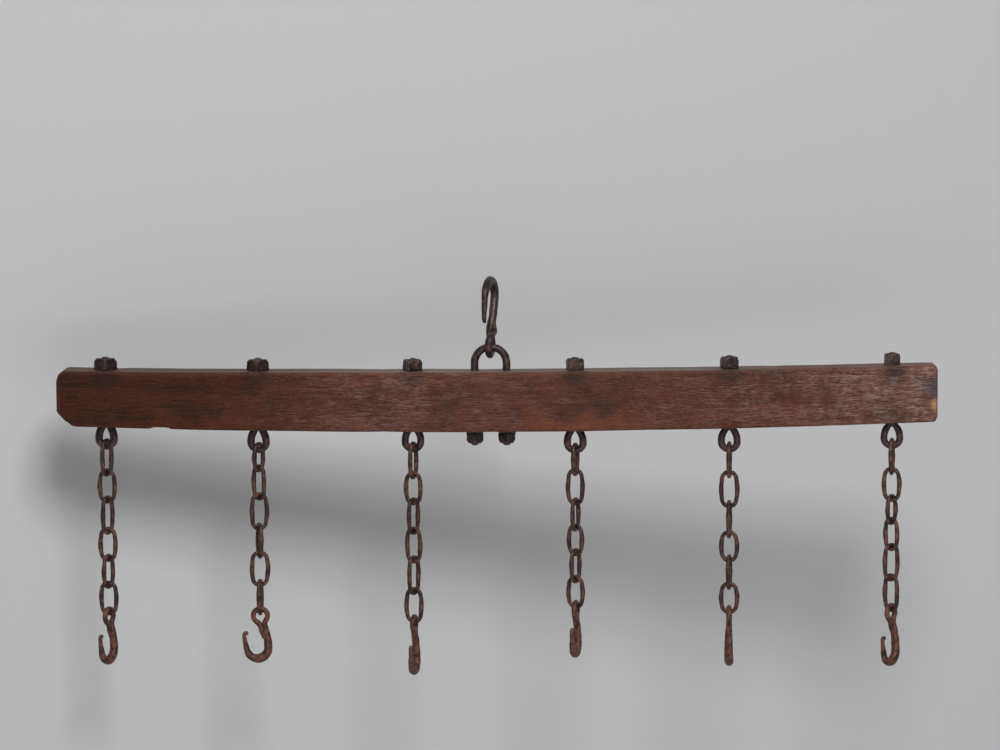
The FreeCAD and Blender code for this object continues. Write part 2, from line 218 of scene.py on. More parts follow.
def join(tree, value, socket):
    """Sets a node's input to a value, or links it to another node's output."""
    if isinstance(value, bpy.types.NodeSocket):
        tree.links.new(value, socket)
    elif isinstance(value, tuple) and len(value) == 3 and socket.type == "RGBA":
        socket.default_value = (*value, 1)
    else:
        socket.default_value = value


def add(tree, kind, settings=None, output=0, **inputs):
    """Adds a shader node with its settings and inputs, and returns one of its outputs."""
    made = tree.nodes.new("ShaderNode" + kind)
    for name, value in (settings or {}).items():
        setattr(made, name, value)
    for name, value in inputs.items():
        join(tree, value, made.inputs[name.replace("_", " ")])
    return made.outputs[output]


def mixed(tree, share, first, second, how="MIX"):
    made = tree.nodes.new("ShaderNodeMix")
    made.data_type, made.blend_type = "RGBA", how
    for value, socket in ((share, made.inputs[0]), (first, made.inputs[6]), (second, made.inputs[7])):
        join(tree, value, socket)
    return made.outputs[2]


def sums(tree, operation, first, second=0.0, clamp=False):
    made = tree.nodes.new("ShaderNodeMath")
    made.operation, made.use_clamp = operation, clamp
    join(tree, first, made.inputs[0])
    join(tree, second, made.inputs[1])
    return made.outputs[0]


def spread(tree, value, low, high, to_low=0.0, to_high=1.0):
    """Maps the span from low to high onto another, clamped, with soft ends."""
    return add(tree, "MapRange", {"interpolation_type": "SMOOTHSTEP"}, Value=value,
               From_Min=low, From_Max=high, To_Min=to_low, To_Max=to_high)


def along_ramp(tree, value, *stops):
    """Reads a value off a ramp of (position, grey) stops."""
    made = tree.nodes.new("ShaderNodeValToRGB")
    points = made.color_ramp.elements
    while len(points) < len(stops):
        points.new(1)
    for point, (position, grey) in zip(points, stops):
        point.position = position
        point.color = (grey, grey, grey, 1)
    join(tree, value, made.inputs[0])
    return made.outputs[0]


def new_group(name, inputs, outputs):
    """Starts a node group from (name, kind, default) inputs and (name, kind) outputs."""
    group = bpy.data.node_groups.new(name, "ShaderNodeTree")
    for label, kind, default in inputs:
        socket = group.interface.new_socket(label, in_out="INPUT", socket_type="NodeSocket" + kind)
        if default is not None:
            socket.default_value = default
    for label, kind in outputs:
        group.interface.new_socket(label, in_out="OUTPUT", socket_type="NodeSocket" + kind)
    return group, group.nodes.new("NodeGroupInput").outputs, group.nodes.new("NodeGroupOutput").inputs


def use_group(tree, group, **inputs):
    made = tree.nodes.new("ShaderNodeGroup")
    made.node_tree = group
    for name, value in inputs.items():
        join(tree, value, made.inputs[name.replace("_", " ")])
    return made.outputs


def build_patches():
    """Ragged patches of a given size that cover a given share of the surface."""
    group, given, out = new_group(
        "patches",
        [("Vector", "Vector", None), ("Size", "Float", 0.01), ("Cover", "Float", 0.5),
         ("Soft", "Float", 0.1)],
        [("Mask", "Float")])
    per_metre = sums(group, "DIVIDE", 1.0, given["Size"])
    cloud = add(group, "TexNoise", Vector=given["Vector"], Scale=per_metre, Detail=5.0, Roughness=0.62)
    level = sums(group, "SUBTRACT", 1.0, given["Cover"])
    level = sums(group, "MULTIPLY_ADD", level, 0.5)
    group.nodes[-1].inputs[2].default_value = 0.25
    low, high = sums(group, "SUBTRACT", level, given["Soft"]), sums(group, "ADD", level, given["Soft"])
    join(group, spread(group, cloud, low, high), out["Mask"])
    return group


def build_grain():
    """Wandering streaks along X, of a given length and width."""
    group, given, out = new_group(
        "grain",
        [("Vector", "Vector", None), ("Length", "Float", 0.1), ("Width", "Float", 0.002),
         ("Wander", "Float", 0.004)],
        [("Tone", "Float")])
    sway = add(group, "TexNoise", output=1, Vector=given["Vector"], Scale=17.0, Detail=2.0)
    sway = add(group, "VectorMath", {"operation": "SUBTRACT"}, Vector=sway)
    group.nodes[-1].inputs[1].default_value = (0.5, 0.5, 0.5)
    shift = add(group, "VectorMath", {"operation": "SCALE"}, Vector=sway, Scale=given["Wander"])
    moved = group.nodes.new("ShaderNodeVectorMath")
    moved.operation = "ADD"
    join(group, given["Vector"], moved.inputs[0])
    join(group, shift, moved.inputs[1])
    stretch = add(group, "CombineXYZ", X=sums(group, "DIVIDE", 1.0, given["Length"]),
                  Y=sums(group, "DIVIDE", 1.0, given["Width"]), Z=sums(group, "DIVIDE", 1.0, given["Width"]))
    scaled = group.nodes.new("ShaderNodeVectorMath")
    scaled.operation = "MULTIPLY"
    join(group, moved.outputs[0], scaled.inputs[0])
    join(group, stretch, scaled.inputs[1])
    tone = add(group, "TexNoise", Vector=scaled.outputs[0], Scale=1.0, Detail=3.0, Roughness=0.55)
    join(group, tone, out["Tone"])
    return group


def build_worn_edges_and_highlights():
    """Where an edge stands out far enough to be rubbed, broken up a little. On iron the mask also places a
    painted highlight.
    """
    group, given, out = new_group(
        "worn_edges_and_highlights",
        [("Vector", "Vector", None), ("Start", "Float", 0.52), ("Full", "Float", 0.6)], [("Mask", "Float")])
    sharpness = group.nodes.new("ShaderNodeNewGeometry").outputs["Pointiness"]
    edge_rub_and_highlight = spread(group, sharpness, given["Start"], given["Full"])
    broken = add(group, "TexNoise", Vector=given["Vector"], Scale=300.0, Detail=4.0)
    join(group, sums(group, "MULTIPLY", edge_rub_and_highlight, spread(group, broken, 0.35, 0.6)), out["Mask"])
    return group


patches, grain, worn_edges_and_highlights = build_patches(), build_grain(), build_worn_edges_and_highlights()


def near(tree, coordinates, point, reach, core=0.0):
    """1 at a point, falling to 0 at a reach from it."""
    away = tree.nodes.new("ShaderNodeVectorMath")
    away.operation = "DISTANCE"
    join(tree, coordinates, away.inputs[0])
    away.inputs[1].default_value = point
    return spread(tree, away.outputs["Value"], core, reach, 1.0, 0.0)


def old_wood():
    material = bpy.data.materials.new("old_wood")
    material.use_nodes = True
    tree = material.node_tree
    surface = tree.nodes["Principled BSDF"]
    texture = tree.nodes.new("ShaderNodeTexCoord")
    place = texture.outputs["Object"]
    split = tree.nodes.new("ShaderNodeSeparateXYZ")
    tree.links.new(place, split.inputs[0])
    along = add(tree, "MapRange", Value=split.outputs["X"], From_Min=beam_low.x, From_Max=beam_high.x)
    facing_up = tree.nodes.new("ShaderNodeSeparateXYZ")
    tree.links.new(texture.outputs["Normal"], facing_up.inputs[0])
    top_face = spread(tree, facing_up.outputs["Z"], 0.7, 0.95)

    bands = use_group(tree, grain, Vector=place, Length=0.24, Width=0.0062, Wander=0.012)["Tone"]
    lines = use_group(tree, grain, Vector=place, Length=0.09, Width=0.0015, Wander=0.007)["Tone"]
    threads = use_group(tree, grain, Vector=place, Length=0.02, Width=0.0006, Wander=0.004)["Tone"]
    cracks = use_group(tree, grain, Vector=place, Length=0.07, Width=0.0022, Wander=0.009)["Tone"]
    cracks = spread(tree, cracks, 0.29, 0.35, 1.0, 0.0)

    paleness = along_ramp(tree, along, *PALENESS)
    tone = sums(tree, "ADD", sums(tree, "MULTIPLY", spread(tree, bands, 0.3, 0.7), 0.36),
                sums(tree, "MULTIPLY", spread(tree, lines, 0.32, 0.7), 0.34))
    tone = sums(tree, "ADD", tone, sums(tree, "MULTIPLY", spread(tree, threads, 0.35, 0.68), 0.22))
    tone = sums(tree, "ADD", sums(tree, "MULTIPLY", tone, 0.62), sums(tree, "MULTIPLY", paleness, 0.5))
    colour = mixed(tree, spread(tree, tone, 0.05, 0.52), WOOD_DARK, WOOD_RED)
    colour = mixed(tree, spread(tree, tone, 0.5, 0.95), colour, WOOD_PALE)
    flecks = use_group(tree, grain, Vector=place, Length=0.006, Width=0.0014, Wander=0.01)["Tone"]
    colour = mixed(tree, spread(tree, flecks, 0.56, 0.72, 0.0, 0.4), colour, WOOD_PALE)
    colour = mixed(tree, spread(tree, flecks, 0.28, 0.44, 0.5, 0.0), colour, WOOD_DARK)

    warm = use_group(tree, patches, Vector=place, Size=0.06, Cover=0.5, Soft=0.09)["Mask"]
    warmth = along_ramp(tree, along, *WARMTH)
    low_half = spread(tree, split.outputs["Z"], bottom_middle + 0.012, bottom_middle + 0.05, 1.0, 0.25)
    warm = sums(tree, "MULTIPLY", sums(tree, "MULTIPLY", warm, warmth), low_half)
    colour = mixed(tree, warm, colour, mixed(tree, 0.55, colour, WOOD_ORANGE))

    streaks = sums(tree, "ADD", sums(tree, "MULTIPLY", flecks, 0.4), sums(tree, "MULTIPLY", threads, 0.6))
    rubbed = use_group(tree, patches, Vector=place, Size=0.026, Cover=0.6, Soft=0.14)["Mask"]
    scuffing = along_ramp(tree, along, *SCUFFING)
    scuffs = sums(tree, "MULTIPLY", rubbed, spread(tree, streaks, 0.46, 0.6))
    scuffs = sums(tree, "MULTIPLY", scuffs, scuffing)
    scuffs = sums(tree, "MULTIPLY", scuffs, 0.8)
    colour = mixed(tree, scuffs, colour, WOOD_SCUFF)
    colour = mixed(tree, sums(tree, "MULTIPLY", cracks, 0.65), colour, WOOD_STAIN)

    blotches = use_group(tree, patches, Vector=place, Size=0.045, Cover=0.34, Soft=0.12)["Mask"]
    colour = mixed(tree, sums(tree, "MULTIPLY", blotches, 0.42), colour, WOOD_STAIN)

    dust = sums(tree, "MULTIPLY", top_face, spread(tree, bands, 0.2, 0.7, 0.35, 0.8))
    clean_right = spread(tree, along, 0.7, 0.86, 1.0, 0.25)
    colour = mixed(tree, sums(tree, "MULTIPLY", dust, clean_right), colour, WOOD_GREY)

    rust_stains = 0.0
    for x in bolt_lines:
        spot = near(tree, place, (x, beam_low.y, top_middle), STAIN_REACH, STAIN_CORE)
        rust_stains = sums(tree, "MAXIMUM", rust_stains, spot)
    rust_stains = sums(tree, "MULTIPLY", rust_stains, spread(tree, bands, 0.3, 0.6, 0.25, 0.75))
    colour = mixed(tree, rust_stains, colour, WOOD_STAIN)

    clear_of_smoke = along_ramp(tree, along, *CLEAR_OF_SMOKE)
    colour = mixed(tree, 1.0, colour, mixed(tree, clear_of_smoke, WOOD_SMOKE, WOOD_CLEAR), "MULTIPLY")
    ink_spot = (beam_high.x - INK_IN, beam_low.y, top_middle - INK_DOWN)
    ink = near(tree, place, ink_spot, INK_REACH, INK_CORE)
    ink = sums(tree, "MULTIPLY", ink, spread(tree, lines, 0.35, 0.6, 0.3, 0.95))
    colour = mixed(tree, ink, colour, WOOD_INK)
    raw_spot = (beam_high.x, beam_low.y + RAW_BACK, top_middle - RAW_DOWN)
    raw = near(tree, place, raw_spot, RAW_REACH, RAW_CORE)
    raw = sums(tree, "MULTIPLY", raw, spread(tree, lines, 0.35, 0.6, 0.45, 0.9))
    colour = mixed(tree, raw, colour, WOOD_RAW)
    edge_rub_and_highlight = use_group(tree, worn_edges_and_highlights, Vector=place, Start=0.515, Full=0.57)["Mask"]
    colour = mixed(tree, sums(tree, "MULTIPLY", edge_rub_and_highlight, 0.3), colour, WOOD_PALE)

    join(tree, colour, surface.inputs["Base Color"])
    join(tree, spread(tree, lines, 0.3, 0.7, 0.48, 0.66), surface.inputs["Roughness"])
    surface.inputs["Specular IOR Level"].default_value = 0.18
    height = sums(tree, "ADD", sums(tree, "MULTIPLY", lines, 0.55), sums(tree, "MULTIPLY", threads, 0.3))
    height = sums(tree, "ADD", height, sums(tree, "MULTIPLY", bands, 0.6))
    height = sums(tree, "SUBTRACT", height, sums(tree, "MULTIPLY", cracks, 0.5))
    bump = add(tree, "Bump", Strength=0.6, Distance=0.0009, Height=height)
    join(tree, bump, surface.inputs["Normal"])
    return material


def arc_height(share, left, middle, right):
    """A height on the bowed line through three, at a share of the beam's length."""
    return left + (right - left) * share + 4 * (middle - (left + right) / 2) * share * (1 - share)


def beam_top(x):
    share = (x - beam_low.x) / beam_length
    return arc_height(share, top_middle + TOP_RISE_LEFT, top_middle, top_middle + TOP_RISE_RIGHT)


def beam_bottom(x):
    share = (x - beam_low.x) / beam_length
    left = top_middle + TOP_RISE_LEFT - END_HEIGHT_LEFT
    right = top_middle + TOP_RISE_RIGHT - END_HEIGHT_RIGHT
    return arc_height(share, left, bottom_middle, right)


def rounded(across, up, half_width, half_height, radius):
    """Moves a point of a rectangle's outline onto its rounded corner."""
    inner_x = min(max(across, radius - half_width), half_width - radius)
    inner_z = min(max(up, radius - half_height), half_height - radius)
    off_x, off_z = across - inner_x, up - inner_z
    far = math.hypot(off_x, off_z)
    if far > radius > 0 and off_x and off_z:
        off_x, off_z = off_x * radius / far, off_z * radius / far
    return inner_x + off_x, inner_z + off_z


def end_wear(from_end, corner):
    """How far a rounded corner of the outline pulls in, at a distance from the beam's end."""
    from_end = min(max(from_end, 0), corner)
    return corner - math.sqrt(corner ** 2 - (corner - from_end) ** 2)


def hewn(point, seed):
    """The depth of the axe marks and of the worn grain at a point of the beam."""
    marks = noise.noise(Vector((point.x / 0.075 + seed, point.y / 0.03, point.z / 0.024)))
    swell = noise.noise(Vector((point.x / 0.2, point.y / 0.09 + seed, point.z / 0.07)))
    ribs = noise.noise(Vector((point.x / 0.03, point.y / 0.005, point.z / 0.0045 + seed)))
    return marks * AXE_MARKS + swell * SWELL + ribs * GRAIN_RIBS


def hew_beam():
    """Draws a square ring of points out along the beam, then shapes every point by where it stands."""
    bm = bmesh.new()
    depth = bm.verts.layers.float.new("depth")
    ring = bmesh.ops.create_circle(bm, segments=BEAM_GIRTH_FACES, radius=1)["verts"]
    start = Matrix.Translation(Vector((beam_low.x, 0, 0))) @ Matrix.Rotation(math.radians(90), 4, "Y")
    bmesh.ops.transform(bm, matrix=start, verts=ring)
    edges = list(bm.edges)
    steps = round(beam_length / BEAM_STEP)
    for v in ring:
        v[depth] = 1
    for _ in range(steps):
        out = bmesh.ops.extrude_edge_only(bm, edges=edges)["geom"]
        fresh = [v for v in out if isinstance(v, bmesh.types.BMVert)]
        bmesh.ops.translate(bm, vec=(beam_length / steps, 0, 0), verts=fresh)
        held = set(fresh)
        edges = [e for e in out if isinstance(e, bmesh.types.BMEdge) and held.issuperset(e.verts)]
        for v in fresh:
            v[depth] = 1
    ends = [[e for e in bm.edges if e.is_boundary and (e.verts[0].co.x < 0) == left]
            for left in (True, False)]
    for edges in ends:
        for size in END_RINGS:
            out = bmesh.ops.extrude_edge_only(bm, edges=edges)["geom"]
            fresh = [v for v in out if isinstance(v, bmesh.types.BMVert)]
            held = set(fresh)
            edges = [e for e in out if isinstance(e, bmesh.types.BMEdge) and held.issuperset(e.verts)]
            for v in fresh:
                v[depth] = size
        bmesh.ops.contextual_create(bm, geom=edges)

    chip_x = beam_low.x + CHIP_FROM_LEFT
    for v in bm.verts:
        x, size = v.co.x, v[depth]
        square = max(abs(v.co.y), abs(v.co.z))
        across, up = v.co.y / square, v.co.z / square
        share = (x - beam_low.x) / beam_length
        half_width = (THICKNESS_LEFT + (THICKNESS_RIGHT - THICKNESS_LEFT) * share) / 2
        low, high = beam_bottom(x), beam_top(x)
        from_left, from_right = x - beam_low.x, beam_high.x - x
        high -= end_wear(from_left, CORNER_TOP_LEFT) + end_wear(from_right, CORNERS_RIGHT)
        low += end_wear(from_right, CORNERS_RIGHT)
        if from_left < WORN_CORNER_RUN:
            ragged = noise.noise(Vector((x / 0.005, across * 2, 0))) * 1.3 * mm
            low += WORN_CORNER_RISE * (1 - from_left / WORN_CORNER_RUN) ** 1.45 + ragged
        low += CHIP_DEPTH * math.exp(-((x - chip_x) / CHIP_REACH) ** 8) * (across < 0.2)
        half_width -= end_wear(from_left, 3 * mm) + end_wear(from_right, 3 * mm)
        bite = max(0.0, noise.noise(Vector((x / 0.03, across * 1.5, up * 1.5 + 7))) - 0.25)
        radius = ARRIS * (1 + 0.45 * noise.noise(Vector((x / 0.05, across, up)))) + 8 * mm * bite
        radius = min(max(radius, 0.6 * mm), half_width * 0.8)
        y, z = rounded(across * half_width, up * (high - low) / 2, half_width, (high - low) / 2, radius)
        point = Vector((x, y * size, (high + low) / 2 + z * size))
        outward = Vector((0, y, z)).normalized() if size == 1 else Vector((0, 0, 0))
        point += outward * (hewn(point, 4.0) - HEWN_AWAY)
        if size < 1:
            inward = 1 if x < 0 else -1
            sawn = noise.noise(Vector((9, point.y / 0.006, point.z / 0.012)))
            point.x += inward * (0.5 * mm + 0.5 * mm * sawn)
        v.co = point
    bmesh.ops.remove_doubles(bm, verts=bm.verts, dist=0.01 * mm)
    bmesh.ops.recalc_face_normals(bm, faces=bm.faces)
    return bm


def finished(bm, name, body, slot, material, *nodes):
    """Makes the mesh a piece that rides on its body and stands for its CAD nodes."""
    mesh = bpy.data.meshes.new(name)
    bm.to_mesh(mesh)
    bm.free()
    mesh.materials.append(material)
    mesh.shade_smooth()
    piece = bpy.data.objects.new(name, mesh)
    scene.collection.objects.link(piece)
    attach(piece, body)
    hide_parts(*nodes)
    return piece


bolt_lines = [hinge_of[f"chain_{n}_link_1"]["pos_m"][0] for n in range(1, 7)]
finished(hew_beam(), "hewn_beam", "beam", "wood", old_wood(), "beam")

# ---------------------------------------------------------------------------------------------------------
# Hanging hook
# A forged bar bent to an open hook above. Below, it is turned round into an eye, and its end is lapped
# against the side of the shaft and hammered flat, which leaves a groove between the two.

HANGER_BAR = 11.5
HANGER_EYE_RADIUS = 13.4
HANGER_FLARE_RADIUS = 9
HANGER_LAP = 9
HANGER_SHAFT_LEAN = 20
HANGER_BEND = 20
HANGER_OPEN_BEND = 25
HANGER_OPEN_TURN = 82
HANGER_LIP = ((22, -4), (6.5, 60))
BAR_SIDES = 24
DOME_ANGLES = (25, 50, 70, 84)  # of the rings that round a bar's end


def forged_iron(name, scale_tone, rust_tone, rust_share, shine, patch=0.007):
    """Old iron: dark forge scale with rust coming through, small pits, and grey edges of rubbed metal and
    painted highlight.
    """
    material = bpy.data.materials.new(name)
    material.use_nodes = True
    tree = material.node_tree
    surface = tree.nodes["Principled BSDF"]
    place = tree.nodes.new("ShaderNodeTexCoord").outputs["Object"]
    rust = use_group(tree, patches, Vector=place, Size=patch, Cover=rust_share, Soft=0.1)["Mask"]
    bloom = use_group(tree, patches, Vector=place, Size=patch / 5, Cover=0.5, Soft=0.12)["Mask"]
    shade = use_group(tree, patches, Vector=place, Size=patch * 3, Cover=0.5, Soft=0.2)["Mask"]
    dark = tuple(c * 0.38 for c in scale_tone)
    bright_rust = tuple(min(1, c * 1.75) for c in rust_tone)
    colour = mixed(tree, shade, dark, scale_tone)
    rusty = mixed(tree, sums(tree, "MULTIPLY", bloom, 0.6), rust_tone, bright_rust)
    rust = sums(tree, "MULTIPLY", rust, sums(tree, "ADD", 0.6, sums(tree, "MULTIPLY", bloom, 0.4)))
    colour = mixed(tree, rust, colour, rusty)
    edge_rub_and_highlight = use_group(tree, worn_edges_and_highlights, Vector=place, Start=0.52, Full=0.62)["Mask"]
    # Grey on the sharp edges: partly metal rubbed bare, partly a painted highlight.
    colour = mixed(tree, sums(tree, "MULTIPLY", edge_rub_and_highlight, 0.35), colour, (0.26, 0.22, 0.21))
    join(tree, colour, surface.inputs["Base Color"])
    join(tree, sums(tree, "SUBTRACT", shine, sums(tree, "MULTIPLY", rust, shine), True),
         surface.inputs["Metallic"])
    rough = sums(tree, "ADD", 0.36, sums(tree, "MULTIPLY", rust, 0.26))
    join(tree, sums(tree, "ADD", rough, sums(tree, "MULTIPLY", bloom, 0.1)), surface.inputs["Roughness"])
    pits = add(tree, "TexNoise", Vector=place, Scale=650.0, Detail=6.0, Roughness=0.65)
    dents = add(tree, "TexNoise", Vector=place, Scale=170.0, Detail=2.0)
    height = sums(tree, "ADD", sums(tree, "MULTIPLY", pits, 0.5), sums(tree, "MULTIPLY", dents, 0.8))
    height = sums(tree, "ADD", height, sums(tree, "MULTIPLY", rust, 0.15))
    join(tree, add(tree, "Bump", Strength=0.6, Distance=0.0007, Height=height), surface.inputs["Normal"])
    return material


def at_share(share, stops):
    """Reads a value at a share of a bar's length off (share, value) stops."""
    for (a, low), (b, high) in zip(stops, stops[1:]):
        if share <= b:
            ease = (share - a) / (b - a)
            return low + (high - low) * ease * ease * (3 - 2 * ease)
    return stops[-1][1]


def draw_bar(bm, start, heading, runs, widths, depths=None, offsets=((0, 0), (1, 0)), dome=1, step=1.2):
    """Draws a bar out from a ring of points, along runs of (length, turn) in the XZ plane, in millimetres.

    Widths are across the bar in its plane, depths through it, and offsets shift it out of the plane, all read
    along its length. The end is rounded, fully or as a lower dome."""
    total = sum(length for length, _ in runs)
    stations, point, gone = [(start, heading, 0)], start, 0
    for length, turn in runs:
        parts = max(2, round(length / step))
        for _ in range(parts):
            half_turn = math.radians(turn / parts / 2)
            chord = length / parts * (math.sin(half_turn) / half_turn if half_turn else 1)
            direction = math.radians(heading) + half_turn
            point = point + Vector((math.cos(direction), 0, math.sin(direction))) * chord
            heading += turn / parts
            gone += length / parts
            stations.append((point, heading, gone / total))
    rings = [(p, h, at_share(s, widths), at_share(s, depths or widths), at_share(s, offsets))
             for p, h, s in stations]
    p, h, width, depth, offset = rings[-1]
    ahead = Vector((math.cos(math.radians(h)), 0, math.sin(math.radians(h)))) * dome
    for angle in DOME_ANGLES:
        lean = math.radians(angle)
        tip = p + ahead * width / 2 * math.sin(lean)
        rings.append((tip, h, width * math.cos(lean), depth * math.cos(lean), offset))
    before, ring = None, None
    for p, h, width, depth, offset in rings:
        across = Matrix.Rotation(math.radians(90 - h), 4, "Y")
        place = (Matrix.Translation((p + Vector((0, offset, 0))) * mm) @ across
                 @ Matrix.Diagonal((width / 2 * mm, depth / 2 * mm, mm, 1)))
        if before is None:
            first = bmesh.ops.create_circle(bm, segments=BAR_SIDES, radius=1, matrix=place)["verts"]
            edges = list({e for v in first for e in v.link_edges})
        else:
            out = bmesh.ops.extrude_edge_only(bm, edges=edges)["geom"]
            ring = [v for v in out if isinstance(v, bmesh.types.BMVert)]
            bmesh.ops.transform(bm, matrix=place @ before.inverted(), verts=ring)
            held = set(ring)
            edges = [e for e in out if isinstance(e, bmesh.types.BMEdge) and held.issuperset(e.verts)]
        before = place
    bmesh.ops.contextual_create(bm, geom=edges)
    return point


def hammered(bm, depth, size, seed, proud=0.4):
    """Dents the surface as a hammer does, mostly inwards. Proud is how far the marks also stand out."""
    bm.normal_update()
    for v in bm.verts:
        coarse = noise.noise(v.co / (size * mm) + Vector((seed, 0, 0)))
        fine = noise.noise(v.co / (size * 0.35 * mm) + Vector((0, seed, 0))) * 0.4
        v.co += v.normal * depth * mm * (coarse + fine - 1 + proud)


def closed_up(bm):
    bmesh.ops.remove_doubles(bm, verts=bm.verts, dist=0.02 * mm)
    bmesh.ops.recalc_face_normals(bm, faces=bm.faces)


def in_place(bm, across, place):
    """Turns a mesh made in the XZ plane to lie along a direction, and sets it in its place."""
    turn = Matrix.Rotation(math.atan2(across[1], across[0]), 4, "Z")
    bmesh.ops.transform(bm, matrix=Matrix.Translation(place) @ turn, verts=bm.verts)


hanger_turn = hinge_of["beam"]["axis"]
hanger_low = hinge_of["beam"]["pos_m"][2] / mm
apex = Vector((0, 0, HANGER_BAR / 2))
lean = math.radians(HANGER_SHAFT_LEAN)
bend_turn = 90 + HANGER_SHAFT_LEAN
bent = Vector((math.cos(lean), 0, -math.sin(lean))) * HANGER_BEND + apex - Vector((0, 0, HANGER_BEND))
eye_centre = Vector((0, 0, hanger_low + HANGER_EYE_RADIUS))
flare = math.acos(HANGER_FLARE_RADIUS / (HANGER_FLARE_RADIUS + HANGER_EYE_RADIUS))
shaft_and_flare = (eye_centre - bent).length
shaft = shaft_and_flare - (HANGER_FLARE_RADIUS + HANGER_EYE_RADIUS) * math.sin(flare)
flare_run = (HANGER_FLARE_RADIUS * flare, math.degrees(flare))
eye_turn = 180 + 2 * math.degrees(flare)

bm = bmesh.new()
draw_bar(bm, apex, 0, [
    (HANGER_BEND * math.radians(bend_turn), -bend_turn),
    (shaft, 0),
    flare_run,
    (HANGER_EYE_RADIUS * math.radians(eye_turn), -eye_turn),
    flare_run,
    (HANGER_LAP, 0),
], widths=((0, 11.5), (0.2, 11.8), (0.4, 10.4), (0.47, 9.4), (0.6, 9.2), (0.85, 9.0), (0.95, 8.4), (1, 4.5)),
    depths=((0, 11.5), (0.25, 10.8), (0.42, 11.2), (0.52, 11.0), (0.62, 9.4), (0.7, 9.4), (0.8, 10.6),
            (0.9, 9.2), (1, 5.6)),
    offsets=((0, 0), (0.3, 0), (0.42, 1.8), (0.52, 2.6), (0.6, 1.2), (0.68, 0), (0.76, -1.4),
             (0.85, -3.2), (0.93, -3.4), (1, -2.0)))
draw_bar(bm, apex, 180, [
    (HANGER_OPEN_BEND * math.radians(HANGER_OPEN_TURN), HANGER_OPEN_TURN),
    *HANGER_LIP,
], widths=((0, 11.5), (0.3, 10.4), (0.7, 8.0), (0.9, 6.2), (1, 5.0)))
closed_up(bm)
hammered(bm, 0.32, 7, 1.0)
in_place(bm, hanger_turn, Vector((0, 0, 0)))
hanger_iron = forged_iron("hanger_iron", (0.070, 0.050, 0.048), (0.085, 0.036, 0.028), 0.34, 0.6)
finished(bm, "hanging_hook_bar", "hanging_hook", "hanger_iron", hanger_iron, "hanging_hook")

# ---------------------------------------------------------------------------------------------------------
# U-bolt, with its washers and nuts
# A round bar bent over the hanging hook's eye. Its threaded legs go down through the beam, and each is held
# below it by a domed washer and a worn square nut.

U_BAR = 10
U_SPAN = 40
WASHER_WIDTH = 30
WASHER_NOSE = 23
WASHER_HEIGHT = 3.2
U_NUT_ACROSS = 16
U_NUT_HEIGHT = 13.5
U_NUT_TURNS = (40, 52)
END_DOME = 0.42  # of a bolt's end, as a share of a full round
NUT_EDGE = 1.0
NUT_CORNER_START = 0.72  # the share of a nut's height where its corners start to be turned off
NUT_CORNER_SLOPE = 0.85
NUT_CORNER_WEAR = 0.3
NUT_OUT_OF_TRUE = 0.35

u_low, u_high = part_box("u_bolt")
crown_radius = U_SPAN / 2
crown_middle = u_high.z / mm - U_BAR / 2
leg = (crown_middle - crown_radius) - u_low.z / mm


def mirrored(bm):
    """Adds the mirror image across the YZ plane, joined where the two meet."""
    bmesh.ops.mirror(bm, geom=bm.verts[:] + bm.edges[:] + bm.faces[:], axis="X", merge_dist=0.01 * mm)
    inner = [f for f in bm.faces if all(abs(v.co.x) < 0.005 * mm for v in f.verts)]
    bmesh.ops.delete(bm, geom=inner, context="FACES_ONLY")


bm = bmesh.new()
draw_bar(bm, Vector((0, 0, crown_middle)), 0, [
    (crown_radius * math.pi / 2, -90),
    (leg - U_BAR / 2 * END_DOME, 0),
], widths=((0, 9.4), (0.18, 10.1), (0.35, 10), (1, 9.8)), dome=END_DOME)
mirrored(bm)
closed_up(bm)
hammered(bm, 0.2, 8, 3.0)
finished(bm, "u_bolt_bar", "beam", "hanger_iron", hanger_iron, "u_bolt")

bm = bmesh.new()
washer_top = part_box("u_bolt_washers")[1].z
for x in (-U_SPAN / 2, U_SPAN / 2):
    profile = [(5.75, 0), (14.2, 0), (WASHER_WIDTH / 2, -0.5), (14.6, -1.1), (13.2, -2.2),
               (WASHER_NOSE / 2, -3.0), (9.5, -WASHER_HEIGHT), (5.9, -WASHER_HEIGHT)]
    verts = [bm.verts.new(((x + r) * mm, 0, washer_top + z * mm)) for r, z in profile]
    edges = [bm.edges.new(pair) for pair in zip(verts, verts[1:] + verts[:1])]
    bmesh.ops.spin(bm, geom=verts + edges, cent=(x * mm, 0, 0), axis=(0, 0, 1), angle=math.tau, steps=48,
                   use_merge=True, use_duplicate=False)
closed_up(bm)
hammered(bm, 0.2, 6, 5.0)
finished(bm, "domed_washers", "beam", "hanger_iron", hanger_iron, "u_bolt_washers")


